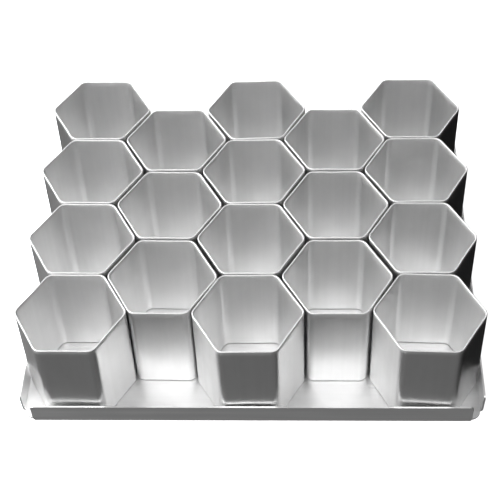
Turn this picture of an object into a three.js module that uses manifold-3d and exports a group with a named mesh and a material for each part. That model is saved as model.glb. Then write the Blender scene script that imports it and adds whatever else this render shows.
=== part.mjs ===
// Open-ended hexagonal cake rings standing in a honeycomb on a shallow sheet-metal tray.
// Millimetres, +Z up. The origin is the centre of the tray's underside, and the front faces -Y.
import * as THREE from 'three';
import { mergeVertices } from 'three/addons/utils/BufferGeometryUtils.js';
import Module from 'manifold-3d';

const wasm = await Module();
wasm.setup();

// A cake ring is a hexagonal tube with two flats facing front and back.
const ring = {
  acrossFlats: 57,
  height: 63.5,
  wall: 1,
  cornerRadius: 6,
};

// The tray is one sheet: a flat floor with a flange bent up along each side, open at the corners.
// Each end of a flange rounds outwards from the bend, until it is longer by flangeSwell.
const tray = {
  innerWidth: 270.6,
  innerDepth: 232.6,
  sheet: 1,
  bendRadius: 0.6,
  flangeHeight: 14.6,
  flangeLean: THREE.MathUtils.degToRad(1.8),
  flangeCorner: 2,
  flangeSwell: 0.7,
  swellRadius: 10,
  cornerGap: 7.8,
};

// The rings stand in columns from left to right, set down by hand. Neighbours in a column have a gap
// between their flats, and drift sideways a little from each one to the next behind it. The slide
// moves the whole column towards the back. Turns are in degrees, from the front ring to the back.
const columnPitch = 51;
const columns = [
  { letter: 'a', gap: 0.7, drift: 0.2, slide: -0.2, turns: [-0.5, -1, -1, -0.5] },
  { letter: 'b', gap: 1.4, drift: 0.4, slide: -1.3, turns: [-1, -1, 0] },
  { letter: 'c', gap: 0.7, drift: 0.4, slide: -0.7, turns: [0.5, -0.5, 0.5, 1.5] },
  { letter: 'd', gap: 1.4, drift: 0.2, slide: -1.5, turns: [0, 0, -0.5] },
  { letter: 'e', gap: 0.7, drift: -0.4, slide: -0.2, turns: [-2, -0.5, 0.5, -0.5] },
];
const ringFootGap = 0.2;

const arcSteps = 5;

const ringMetal = new THREE.MeshStandardMaterial({ color: 0xc4c6c8, roughness: 0.32, metalness: 1 });
const trayMetal = new THREE.MeshStandardMaterial({ color: 0xd6d8d9, roughness: 0.38, metalness: 1 });

// Adds an arc about (x, y) to an outline, turning anticlockwise when toAngle is the larger angle.
function addArc(points, x, y, radius, fromAngle, toAngle, steps = arcSteps) {
  for (let i = 0; i <= steps; i += 1) {
    const angle = fromAngle + (toAngle - fromAngle) * i / steps;
    points.push(new THREE.Vector2(x + radius * Math.cos(angle), y + radius * Math.sin(angle)));
  }
}

// Hexagon with rounded corners pointing left and right.
function hexagon(acrossFlats, cornerRadius) {
  const points = [];
  const toArcCentre = (acrossFlats / 2 - cornerRadius) / Math.cos(Math.PI / 6);
  for (let corner = 0; corner < 6; corner += 1) {
    const angle = corner * Math.PI / 3;
    const x = toArcCentre * Math.cos(angle);
    const y = toArcCentre * Math.sin(angle);
    addArc(points, x, y, cornerRadius, angle - Math.PI / 6, angle + Math.PI / 6);
  }
  return points;
}

function roundedRectangle(width, depth, radius) {
  const points = [];
  const x = width / 2 - radius;
  const y = depth / 2 - radius;
  addArc(points, x, y, radius, 0, Math.PI / 2);
  addArc(points, -x, y, radius, Math.PI / 2, Math.PI);
  addArc(points, -x, -y, radius, Math.PI, 3 * Math.PI / 2);
  addArc(points, x, -y, radius, 3 * Math.PI / 2, 2 * Math.PI);
  return points;
}

function extrude(points, depth, holePoints = null) {
  const shape = new THREE.Shape(points);
  if (holePoints) {
    shape.holes.push(new THREE.Path(holePoints));
  }
  return new THREE.ExtrudeGeometry(shape, { depth, bevelEnabled: false });
}

function toSolid(geometry) {
  const bare = geometry.clone();
  bare.deleteAttribute('normal');
  bare.deleteAttribute('uv');
  const merged = mergeVertices(bare);
  return new wasm.Manifold(new wasm.Mesh({
    numProp: 3,
    vertProperties: merged.attributes.position.array,
    triVerts: new Uint32Array(merged.index.array),
  }));
}

function toGeometry(solid) {
  const mesh = solid.getMesh();
  const geometry = new THREE.BufferGeometry();
  geometry.setAttribute('position', new THREE.BufferAttribute(mesh.vertProperties, 3));
  geometry.setIndex(new THREE.BufferAttribute(mesh.triVerts, 1));
  geometry.computeVertexNormals();
  return geometry;
}

// Cross-section of a flange: x runs outwards from the line where the bend starts, y runs up.
// It reaches back over the floor by one corner gap, where it joins the floor.
function flangeSection() {
  const { sheet, bendRadius, flangeHeight, flangeLean, cornerGap } = tray;
  const bendCentre = sheet + bendRadius;
  const innerTopX = (flangeHeight - bendCentre) * Math.tan(flangeLean) + bendRadius / Math.cos(flangeLean);
  const outerTopX = innerTopX + sheet * Math.cos(flangeLean);
  const outerTopY = flangeHeight - sheet * Math.sin(flangeLean);
  const points = [new THREE.Vector2(-cornerGap, 0)];
  addArc(points, 0, bendCentre, bendCentre, -Math.PI / 2, -flangeLean);
  points.push(new THREE.Vector2(outerTopX, outerTopY));
  points.push(new THREE.Vector2(innerTopX, flangeHeight));
  addArc(points, 0, bendCentre, bendRadius, -flangeLean, -Math.PI / 2);
  points.push(new THREE.Vector2(-cornerGap, sheet));
  return points;
}

// Outline of a flange seen from outside. It is as wide as the bend below the sheet's top, swells
// above it, and has two rounded top corners.
function flangeOutline(length) {
  const { sheet, flangeHeight, flangeCorner, flangeSwell, swellRadius } = tray;
  const inset = swellRadius - flangeSwell;
  const swellAngle = Math.acos(inset / swellRadius);
  const swellTop = sheet + swellRadius * Math.sin(swellAngle);
  const cornerX = length / 2 + flangeSwell - flangeCorner;
  const cornerY = flangeHeight - flangeCorner;
  const half = [new THREE.Vector2(length / 2, -flangeHeight)];
  addArc(half, length / 2 - inset, swellTop, swellRadius, -swellAngle, 0);
  addArc(half, cornerX, cornerY, flangeCorner, 0, Math.PI / 2);
  const otherHalf = half.map((point) => new THREE.Vector2(-point.x, point.y));
  return [...half, ...otherHalf.reverse()];
}

// One flange, built along +Y at the given distance from the centre and turned to its side. The
// sheet is bent with length to spare, and the outline trims its ends.
function flange(length, toBend, turn) {
  const { cornerGap, flangeSwell } = tray;
  const bentLength = length + 4 * flangeSwell;
  const bent = extrude(flangeSection(), bentLength);
  bent.rotateX(Math.PI / 2).rotateZ(Math.PI / 2).translate(-bentLength / 2, toBend, 0);
  const outline = extrude(flangeOutline(length), 2 * cornerGap);
  outline.rotateX(Math.PI / 2).translate(0, toBend + cornerGap, 0);
  const solid = toSolid(bent).intersect(toSolid(outline));
  return solid.rotate([0, 0, turn]);
}

function makeTray() {
  const { innerWidth, innerDepth, sheet, bendRadius, cornerGap } = tray;
  const floorWidth = innerWidth - 2 * bendRadius;
  const floorDepth = innerDepth - 2 * bendRadius;
  const floorCorner = cornerGap - bendRadius - sheet;
  const sideLength = floorWidth - 2 * floorCorner;
  const endLength = floorDepth - 2 * floorCorner;
  const pieces = [
    toSolid(extrude(roundedRectangle(floorWidth, floorDepth, floorCorner), sheet)),
    flange(sideLength, floorDepth / 2, 0),
    flange(sideLength, floorDepth / 2, 180),
    flange(endLength, floorWidth / 2, 90),
    flange(endLength, floorWidth / 2, -90),
  ];
  const solid = pieces.reduce((joined, piece) => joined.add(piece));
  const mesh = new THREE.Mesh(toGeometry(solid), trayMetal);
  mesh.name = 'tray';
  return mesh;
}

function makeRing(name) {
  const { acrossFlats, height, wall, cornerRadius } = ring;
  const outside = hexagon(acrossFlats, cornerRadius);
  const inside = hexagon(acrossFlats - 2 * wall, cornerRadius - wall);
  const mesh = new THREE.Mesh(extrude(outside, height, inside), ringMetal);
  mesh.name = name;
  return mesh;
}

// A column of rings on the tray floor, numbered from the front. Rows are counted from its middle.
function makeColumn(column, x) {
  const group = new THREE.Group();
  const rowPitch = ring.acrossFlats + column.gap;
  const middleRow = (column.turns.length - 1) / 2;
  column.turns.forEach((turn, index) => {
    const row = index - middleRow;
    const mesh = makeRing(`cake_ring_${column.letter}${index + 1}`);
    mesh.position.set(x + column.drift * row, column.slide + rowPitch * row, tray.sheet + ringFootGap);
    mesh.rotation.z = THREE.MathUtils.degToRad(turn);
    group.add(mesh);
  });
  return group;
}

const set = new THREE.Group();
set.add(makeTray());
columns.forEach((column, index) => {
  const x = columnPitch * (index - (columns.length - 1) / 2);
  set.add(makeColumn(column, x));
});

export default set;
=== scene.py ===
"""Looks for a honeycomb of open-ended hexagonal cake rings on a shallow sheet-metal tray.

Everything is in metres in the CAD frame: the tray's underside is at z = 0 and its front faces -Y.
"""

import cmath
import math
import random

import bmesh
import bpy
from mathutils import Matrix, Vector


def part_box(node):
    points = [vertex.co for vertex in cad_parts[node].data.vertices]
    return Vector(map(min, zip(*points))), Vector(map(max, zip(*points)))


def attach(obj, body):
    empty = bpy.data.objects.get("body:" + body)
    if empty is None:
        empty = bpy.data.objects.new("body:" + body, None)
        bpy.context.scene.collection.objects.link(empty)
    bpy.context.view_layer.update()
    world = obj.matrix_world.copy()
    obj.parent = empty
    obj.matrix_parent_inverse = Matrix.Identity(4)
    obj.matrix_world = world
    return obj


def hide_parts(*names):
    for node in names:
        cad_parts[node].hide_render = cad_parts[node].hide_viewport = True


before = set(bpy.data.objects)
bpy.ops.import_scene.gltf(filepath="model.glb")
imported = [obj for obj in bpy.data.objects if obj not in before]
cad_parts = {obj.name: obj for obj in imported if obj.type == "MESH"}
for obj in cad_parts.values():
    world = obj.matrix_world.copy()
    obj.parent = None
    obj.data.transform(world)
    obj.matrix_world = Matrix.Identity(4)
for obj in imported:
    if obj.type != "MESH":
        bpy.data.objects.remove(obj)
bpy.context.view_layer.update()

MM = 0.001

# Ring wall. Its height and width come from the frame.
RING_WALL = 1.0 * MM
RING_CORNER = 6.0 * MM
RIM_ROUND = 0.42 * MM
BOW_LEAST = 0.05 * MM
BOW_MOST = 0.22 * MM

# Tray sheet
SHEET = 1.0 * MM
BEND_RADIUS = 0.6 * MM
FLANGE_LEAN = math.radians(1.8)
FLANGE_CORNER = 2.0 * MM
FLANGE_SWELL = 0.7 * MM
SWELL_RADIUS = 10.0 * MM
CORNER_GAP = 7.8 * MM
EDGE_ROUND = 0.28 * MM

RING_NODES = sorted(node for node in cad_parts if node.startswith("cake_ring"))


# ---------------------------------------------------------------- mesh helpers

def arc(centre, radius, start, end, steps):
    """Points of an arc in the plane, from one angle to another."""
    points = []
    for i in range(steps + 1):
        angle = start + (end - start) * i / steps
        points.append(Vector(centre) + radius * Vector((math.cos(angle), math.sin(angle))))
    return points


def make_object(name, bm):
    """A smooth-shaded object from a bmesh."""
    mesh = bpy.data.meshes.new(name)
    bm.to_mesh(mesh)
    bm.free()
    mesh.shade_smooth()
    piece = bpy.data.objects.new(name, mesh)
    bpy.context.scene.collection.objects.link(piece)
    return piece


def weight_normals(piece):
    """Flats keep their own normals, and the round edges take up the change."""
    weighted = piece.modifiers.new("weighted_normals", "WEIGHTED_NORMAL")
    weighted.mode = "FACE_AREA"
    weighted.weight = 60


def stand_for(piece, node, material):
    """Puts a piece in place of its CAD node, with its material."""
    piece.data.materials.append(material)
    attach(piece, node)
    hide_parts(node)


# ---------------------------------------------------------------- rings

def ring_turn(corners):
    """How far a ring is turned about its own middle, from the directions of its corners."""
    total = sum(cmath.exp(6j * math.atan2(corner.y, corner.x)) for corner in corners)
    return cmath.phase(total) / 6


def ring_path(across_flats):
    """Stations round the outside of a ring: (point, outward normal, flat number, bow there)."""
    corner_steps = 10
    flat_steps = 10
    # from the ring's middle to the centre of a round corner
    to_centre = (across_flats / 2 - RING_CORNER) / math.cos(math.pi / 6)
    stations = []
    for corner in range(6):
        middle = corner * math.pi / 3
        centre = to_centre * Vector((math.cos(middle), math.sin(middle)))
        for i in range(corner_steps + 1):
            angle = middle + math.pi / 3 * (i / corner_steps - 0.5)
            normal = Vector((math.cos(angle), math.sin(angle)))
            stations.append((centre + RING_CORNER * normal, normal, corner, 0))
        flat_start, flat_normal = stations[-1][:2]
        next_middle = middle + math.pi / 3
        next_centre = to_centre * Vector((math.cos(next_middle), math.sin(next_middle)))
        flat_end = next_centre + RING_CORNER * flat_normal
        for i in range(1, flat_steps):
            bow = math.sin(math.pi * i / flat_steps) ** 2
            point = flat_start.lerp(flat_end, i / flat_steps)
            stations.append((point, flat_normal, corner, bow))
    return stations


def bow_at(share):
    """How much of its bow a flat has at a share of its height. Half way up it has all of it."""
    return math.sin(math.pi * (0.25 + 0.5 * share))


def wall_section(height):
    """Closed section of a ring's wall: (distance in from the outside, height), with round rims."""
    levels = 8
    rim_steps = 4
    r = RIM_ROUND
    upright = [r + (height - 2 * r) * i / levels for i in range(levels + 1)]
    section = [(0, level) for level in upright]
    quarter = math.pi / 2
    section += arc((r, height - r), r, math.pi, quarter, rim_steps)[1:]
    section += arc((RING_WALL - r, height - r), r, quarter, 0, rim_steps)
    section += [(RING_WALL, level) for level in reversed(upright[:-1])]
    section += arc((RING_WALL - r, r), r, 0, -quarter, rim_steps)[1:]
    section += arc((r, r), r, -quarter, -math.pi, rim_steps)[:-1]
    return [Vector(point) for point in section]


def make_ring(node):
    """One hexagonal ring: a fine wall with round corners and rims, its flats bowed in a little."""
    low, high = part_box(node)
    middle = (low + high) / 2
    height = high.z - low.z
    corners = [vertex.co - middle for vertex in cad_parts[node].data.vertices]
    turn = ring_turn(corners)
    across_flats = 2 * max(corner.x * math.sin(-turn) + corner.y * math.cos(turn) for corner in corners)
    chance = random.Random(node)
    bows = [chance.uniform(BOW_LEAST, BOW_MOST) for flat in range(6)]
    section = wall_section(height)
    bm = bmesh.new()
    loops = []
    for point, normal, flat, bow in ring_path(across_flats):
        loop = []
        for depth, level in section:
            dent = bows[flat] * bow * bow_at(level / height)
            at = point - (depth + dent) * normal
            loop.append(bm.verts.new((at.x, at.y, level)))
        loops.append(loop)
    for loop, following in zip(loops, loops[1:] + loops[:1]):
        for i in range(len(section)):
            j = (i + 1) % len(section)
            bm.faces.new((loop[i], following[i], following[j], loop[j]))
    bmesh.ops.recalc_face_normals(bm, faces=bm.faces)
    piece = make_object(node + "_shell", bm)
    piece.location = (middle.x, middle.y, low.z)
    piece.rotation_euler.z = turn
    weight_normals(piece)
    return piece


# ---------------------------------------------------------------- tray

def flange_profile(height):
    """Inner face of a flange: (distance out from the bend line, height), from the floor to the top."""
    centre = Vector((0, SHEET + BEND_RADIUS))
    points = arc(centre, BEND_RADIUS, -math.pi / 2, -FLANGE_LEAN, 6)
    foot = points[-1]
    steps = 6
    for i in range(1, steps + 1):
        rise = (height - foot.y) * i / steps
        points.append(foot + Vector((rise * math.tan(FLANGE_LEAN), rise)))
    return points


def end_swell(level):
    """How much further out than its bend a flange's rounded end lies at a level."""
    inset = SWELL_RADIUS - FLANGE_SWELL
    below_top = SHEET + math.sqrt(SWELL_RADIUS ** 2 - inset ** 2) - level
    return math.sqrt(SWELL_RADIUS ** 2 - max(0, below_top) ** 2) - inset


def flange_stations(length, height):
    """Stations along a flange: (distance from its middle, height), lower at the rounded ends."""
    end_steps = 5
    plain_steps = 30
    half = length / 2
    end = []
    for i in range(end_steps):
        angle = math.pi / 2 * i / end_steps
        inward = FLANGE_CORNER * (1 - math.cos(angle))
        below = FLANGE_CORNER * (1 - math.sin(angle))
        end.append((half - inward, height - below))
    plain = half - FLANGE_CORNER
    stations = [(-distance, top) for distance, top in end]
    stations += [(plain * (2 * i / plain_steps - 1), height) for i in range(plain_steps + 1)]
    return stations + end[::-1]


def make_flange(bm, along, out, half_out, length, height):
    """One flange of the tray. Returns its vertices along the floor, in order."""
    columns = []
    for distance, top in flange_stations(length, height):
        column = []
        for point in flange_profile(top):
            stretch = 1 + 2 * end_swell(point.y) / length
            at = along * distance * stretch + out * (half_out + point.x)
            column.append(bm.verts.new((at.x, at.y, point.y)))
        columns.append(column)
    for column, following in zip(columns, columns[1:]):
        for i in range(len(column) - 1):
            bm.faces.new((column[i], following[i], following[i + 1], column[i + 1]))
    return [column[0] for column in columns]


def make_tray():
    """The tray as one bent sheet: floor, four flanges, open corners and soft cut edges."""
    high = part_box("tray")[1]
    reach = flange_profile(high.z)[-1].x + SHEET * math.cos(FLANGE_LEAN)
    half = Vector((high.x - reach, high.y - reach))
    corner = CORNER_GAP - SHEET - BEND_RADIUS
    bm = bmesh.new()
    floor = []
    for side in range(4):
        angle = side * math.pi / 2
        along = Vector((math.cos(angle), math.sin(angle)))
        out = Vector((along.y, -along.x))
        half_along = abs(along.x) * half.x + abs(along.y) * half.y
        half_out = abs(out.x) * half.x + abs(out.y) * half.y
        floor += make_flange(bm, along, out, half_out, 2 * (half_along - corner), high.z)
        centre = along * (half_along - corner) + out * (half_out - corner)
        for point in arc(centre, corner, angle - math.pi / 2, angle, 8)[1:-1]:
            floor.append(bm.verts.new((point.x, point.y, SHEET)))
    floor_face = bm.faces.new(floor)
    bmesh.ops.recalc_face_normals(bm, faces=bm.faces)
    if floor_face.normal.z < 0:
        bmesh.ops.reverse_faces(bm, faces=bm.faces)
    # the sheet lies below and outside this surface
    piece = make_object("tray_sheet", bm)
    thick = piece.modifiers.new("sheet", "SOLIDIFY")
    thick.thickness = SHEET
    thick.offset = -1
    thick.use_even_offset = True
    soft = piece.modifiers.new("soft_edges", "BEVEL")
    soft.width = EDGE_ROUND
    soft.segments = 3
    soft.limit_method = "ANGLE"
    soft.angle_limit = math.radians(50)
    weight_normals(piece)
    return piece


# ---------------------------------------------------------------- materials

def add(tree, kind, inputs, **settings):
    """A shader node with its settings made and its inputs filled with values or links."""
    node = tree.nodes.new("ShaderNode" + kind)
    for name, value in settings.items():
        setattr(node, name, value)
    for name, value in inputs.items():
        if isinstance(value, bpy.types.NodeSocket):
            tree.links.new(value, node.inputs[name])
        else:
            node.inputs[name].default_value = value
    return node


def ramp(tree, value, low, high, start, end):
    """A value that goes smoothly from start to end while the input goes from low to high."""
    limits = {"From Min": low, "From Max": high, "To Min": start, "To Max": end}
    node = add(tree, "MapRange", {"Value": value, **limits}, interpolation_type="SMOOTHSTEP")
    return node.outputs["Result"]


def calculate(tree, operation, *values):
    return add(tree, "Math", dict(enumerate(values)), operation=operation).outputs["Value"]


def noise(tree, place, cells, detail=2.0):
    """Noise with the given number of cells per metre along each axis."""
    mapping = add(tree, "Mapping", {"Vector": place, "Scale": cells})
    texture = add(tree, "TexNoise", {"Vector": mapping.outputs["Vector"], "Scale": 1.0, "Detail": detail})
    return texture.outputs["Fac"]


def varied(tree, smudge, start, end, grain, spread):
    """A value that drifts from start to end with the smudges, give or take a spread with the grain."""
    drift = ramp(tree, smudge, 0.3, 0.7, start, end)
    streak = ramp(tree, grain, 0.3, 0.7, -spread, spread)
    return calculate(tree, "ADD", drift, streak)


def relief(tree, height, depth, normal=None):
    """Bump of the given depth, on top of an earlier one if there is one."""
    inputs = {"Height": height, "Distance": depth, "Strength": 1.0}
    if normal is not None:
        inputs["Normal"] = normal
    return add(tree, "Bump", inputs).outputs["Normal"]


def new_metal(name):
    """A metal material: its tree, its shader, and the place on the piece."""
    material = bpy.data.materials.new(name)
    material.use_nodes = True
    tree = material.node_tree
    shader = tree.nodes["Principled BSDF"]
    shader.inputs["Metallic"].default_value = 1
    place = add(tree, "TexCoord", {}).outputs["Object"]
    return material, tree, shader, place


def finish_metal(tree, shader, tone, roughness, normal):
    """Joins a grey tone, a roughness and a relief to the shader."""
    tree.links.new(tone, shader.inputs["Base Color"])
    tree.links.new(roughness, shader.inputs["Roughness"])
    tree.links.new(normal, shader.inputs["Normal"])


def ring_metal():
    """Satin aluminium with upright grain and faint smudges, rubbed rough at the rims. Its rims and
    corners are rubbed and also painted a little darker, a painted shade that dims their highlight, and
    painted shade darkens its foot where it stands on the tray.
    """
    material, tree, shader, place = new_metal("satin_aluminium")
    low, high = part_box(RING_NODES[0])
    height = high.z - low.z
    reach = (high.x - low.x) / 2
    # each ring has a stretch of grain of its own
    own = add(tree, "ObjectInfo", {}).outputs["Random"]
    shift = add(tree, "VectorMath", {0: own, 1: (3, 5, 7)}, operation="MULTIPLY").outputs["Vector"]
    metal = add(tree, "VectorMath", {0: place, 1: shift}, operation="ADD").outputs["Vector"]
    fine_grain = noise(tree, metal, (1200, 1200, 16))
    broad_grain = noise(tree, metal, (260, 260, 6))
    smudge = noise(tree, metal, (45, 45, 30), 4.0)
    ripple = noise(tree, metal, (24, 24, 15), 0.0)
    nicks = noise(tree, metal, (500, 500, 500))
    # the rims and the outer upright corners rub against the neighbours, and fingers against the top; the
    # darkening on this mask is also painted shade
    level = add(tree, "SeparateXYZ", {"Vector": place}).outputs["Z"]
    rim = ramp(tree, level, height - 1.6 * MM, height - 0.3 * MM, 0, 1)
    near_rim = ramp(tree, level, height - 4.5 * MM, height - 0.3 * MM, 0, 1)
    flat_place = add(tree, "VectorMath", {0: place, 1: (1, 1, 0)}, operation="MULTIPLY").outputs["Vector"]
    radius = add(tree, "VectorMath", {0: flat_place}, operation="LENGTH").outputs["Value"]
    corner = ramp(tree, radius, reach - 0.6 * MM, reach, 0, 0.5)
    edge = calculate(tree, "MAXIMUM", rim, corner)
    edge_marks = calculate(tree, "MULTIPLY", edge, ramp(tree, nicks, 0.3, 0.6, 0.4, 1))

    tone = varied(tree, smudge, start=0.78, end=0.83, grain=broad_grain, spread=0.012)
    # painted shade: the rims and outer corners are darkened a little to dim their highlight, besides the
    # rubbed nicks
    tone = calculate(tree, "MULTIPLY_ADD", edge_marks, -0.05, tone)
    # painted shade: the tone falls to 0.6 at the bottom of the foot, a dark contact line where the ring
    # stands on the tray
    foot = ramp(tree, level, 0.1 * MM, 0.4 * MM, 0.6, 1)
    tone = calculate(tree, "MULTIPLY", tone, foot)
    roughness = varied(tree, smudge, start=0.36, end=0.31, grain=fine_grain, spread=0.03)
    roughness = calculate(tree, "MULTIPLY_ADD", near_rim, 0.28, roughness)
    normal = relief(tree, ripple, 0.04 * MM)
    normal = relief(tree, broad_grain, 0.012 * MM, normal)
    normal = relief(tree, fine_grain, 0.006 * MM, normal)
    finish_metal(tree, shader, tone, roughness, normal)
    return material


def tray_metal():
    """Rolled aluminium sheet with grain along its length, scuffs, and bright cut edges."""
    material, tree, shader, place = new_metal("rolled_aluminium")
    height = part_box("tray")[1].z
    grain = noise(tree, place, (12, 700, 700))
    smudge = noise(tree, place, (30, 30, 30), 5.0)
    ripple = noise(tree, place, (14, 22, 22), 0.0)
    scratch_lines = noise(tree, place, (22, 1500, 1500), 1.0)
    nicks = noise(tree, place, (600, 600, 600))
    level = add(tree, "SeparateXYZ", {"Vector": place}).outputs["Z"]
    edge = ramp(tree, level, height - 1.2 * MM, height - 0.4 * MM, 0, 1)
    edge_marks = calculate(tree, "MULTIPLY", edge, ramp(tree, nicks, 0.3, 0.6, 0.4, 1))
    scuffs = ramp(tree, scratch_lines, 0.68, 0.78, 0, 1)

    tone = varied(tree, smudge, start=0.9, end=0.94, grain=grain, spread=0.015)
    tone = calculate(tree, "MULTIPLY_ADD", edge_marks, 0.03, tone)
    roughness = varied(tree, smudge, start=0.48, end=0.42, grain=grain, spread=0.03)
    polish = calculate(tree, "MAXIMUM", edge_marks, scuffs)
    roughness = calculate(tree, "MULTIPLY_ADD", polish, -0.14, roughness)
    normal = relief(tree, ripple, 0.1 * MM)
    normal = relief(tree, grain, 0.008 * MM, normal)
    normal = relief(tree, scuffs, 0.01 * MM, normal)
    finish_metal(tree, shader, tone, roughness, normal)
    return material


# ---------------------------------------------------------------- studio

def make_floor():
    """A plain white table, lit through from below. The metal reflects the dark room instead of it."""
    half_size = 20.0
    bm = bmesh.new()
    bmesh.ops.create_grid(bm, x_segments=1, y_segments=1, size=half_size)
    floor = make_object("studio_floor", bm)
    material = bpy.data.materials.new("paper")
    material.use_nodes = True
    shader = material.node_tree.nodes["Principled BSDF"]
    shader.inputs["Base Color"].default_value = (0.9, 0.9, 0.9, 1)
    shader.inputs["Roughness"].default_value = 0.9
    shader.inputs["Emission Color"].default_value = (1, 1, 1, 1)
    shader.inputs["Emission Strength"].default_value = 0.75
    floor.data.materials.append(material)
    floor.visible_glossy = False


def softbox(name, azimuth, elevation, width, height, radiance):
    """A soft light 1.5 m from the tray. Azimuth 0 is in front, and 90 is to the right."""
    distance = 1.5
    data = bpy.data.lights.new(name, "AREA")
    data.shape = "RECTANGLE"
    data.size = width
    data.size_y = height
    data.energy = math.pi * width * height * radiance
    lamp = bpy.data.objects.new(name, data)
    bpy.context.scene.collection.objects.link(lamp)
    a, e = math.radians(azimuth), math.radians(elevation)
    away = Vector((math.sin(a) * math.cos(e), -math.cos(a) * math.cos(e), math.sin(e)))
    lamp.location = away * distance
    lamp.rotation_euler = away.to_track_quat("Z", "Y").to_euler()


def make_lights():
    """A long soft box low on the left, a high one in front, and weaker ones behind and on the right."""
    softbox("left_box", azimuth=275, elevation=21, width=3.4, height=0.75, radiance=8.5)
    softbox("front_high_box", azimuth=345, elevation=58, width=1.9, height=0.9, radiance=2.4)
    softbox("back_left_box", azimuth=215, elevation=50, width=1.0, height=0.9, radiance=1.7)
    softbox("back_low_box", azimuth=180, elevation=20, width=1.0, height=0.6, radiance=3.2)
    softbox("right_high_box", azimuth=110, elevation=58, width=1.2, height=0.7, radiance=0.7)


def make_world():
    """A dark room, faintly lit from its ceiling, and from below on the left."""
    world = bpy.data.worlds.new("studio")
    bpy.context.scene.world = world
    world.use_nodes = True
    tree = world.node_tree
    direction = add(tree, "TexCoord", {}).outputs["Generated"]
    axes = add(tree, "SeparateXYZ", {"Vector": direction}).outputs
    to_right = calculate(tree, "MULTIPLY_ADD", axes["Y"], 0.5, axes["X"])
    dimming = ramp(tree, to_right, 0.1, 0.75, 0.088, 0.004)
    lowness = ramp(tree, axes["Z"], -1, -0.25, 2, 0)
    ceiling = ramp(tree, axes["Z"], 0.6, 0.95, 0, 0.27)
    strength = calculate(tree, "MULTIPLY_ADD", dimming, lowness, ceiling)
    tree.links.new(strength, tree.nodes["Background"].inputs["Strength"])
    tree.nodes["Background"].inputs["Color"].default_value = (1, 1, 1, 1)


def make_camera():
    """The photograph's view: a long lens, high over the front edge and turned a little."""
    azimuth = math.radians(3.5)
    elevation = math.radians(47.8)
    roll = math.radians(-2.75)
    distance = 838.5 * MM
    target = Vector((-4.1, 18.2, 1.0)) * MM
    lens = 91.4
    sensor = 36
    back = Vector((
        math.sin(azimuth) * math.cos(elevation),
        -math.cos(azimuth) * math.cos(elevation),
        math.sin(elevation),
    ))
    data = bpy.data.cameras.new("camera")
    data.lens = lens
    data.sensor_width = sensor
    camera = bpy.data.objects.new("camera", data)
    bpy.context.scene.collection.objects.link(camera)
    camera.location = target + back * distance
    upright = (-back).to_track_quat("-Z", "Y").to_matrix()
    camera.rotation_euler = (upright @ Matrix.Rotation(roll, 3, "Z")).to_euler()
    bpy.context.scene.camera = camera


def build():
    make_camera()
    make_world()
    make_lights()
    make_floor()
    scene = bpy.context.scene
    scene.view_settings.view_transform = "Standard"
    # light bounces many times inside the rings and in the gaps between them
    scene.cycles.max_bounces = 16
    scene.cycles.glossy_bounces = 16
    stand_for(make_tray(), "tray", tray_metal())
    satin = ring_metal()
    for node in RING_NODES:
        stand_for(make_ring(node), node, satin)


build()
